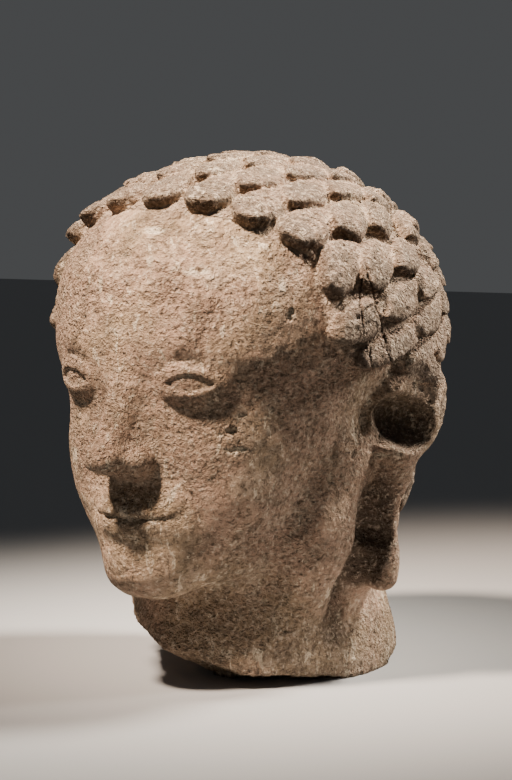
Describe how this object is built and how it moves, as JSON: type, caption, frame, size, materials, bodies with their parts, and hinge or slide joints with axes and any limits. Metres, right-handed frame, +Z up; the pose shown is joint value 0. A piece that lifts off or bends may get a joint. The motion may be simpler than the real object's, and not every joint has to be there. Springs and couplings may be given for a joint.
{
  "type": "limestone head sculpture",
  "caption": "Life-size carved limestone head with rows of pointed locks, long ear lobes and a broken neck, standing on its flat underside as an ornament.",
  "frame": {"origin": "on the flat underside of the neck, below the middle of the head", "axes": "+Z up through the crown, -Y the way the face looks, +X the head's own left"},
  "size_m": [0.2258, 0.2656, 0.2951],
  "materials": {
    "limestone": "matte"
  },
  "bodies": {
    "root": {"head": "limestone"}
  },
  "joints": []
}
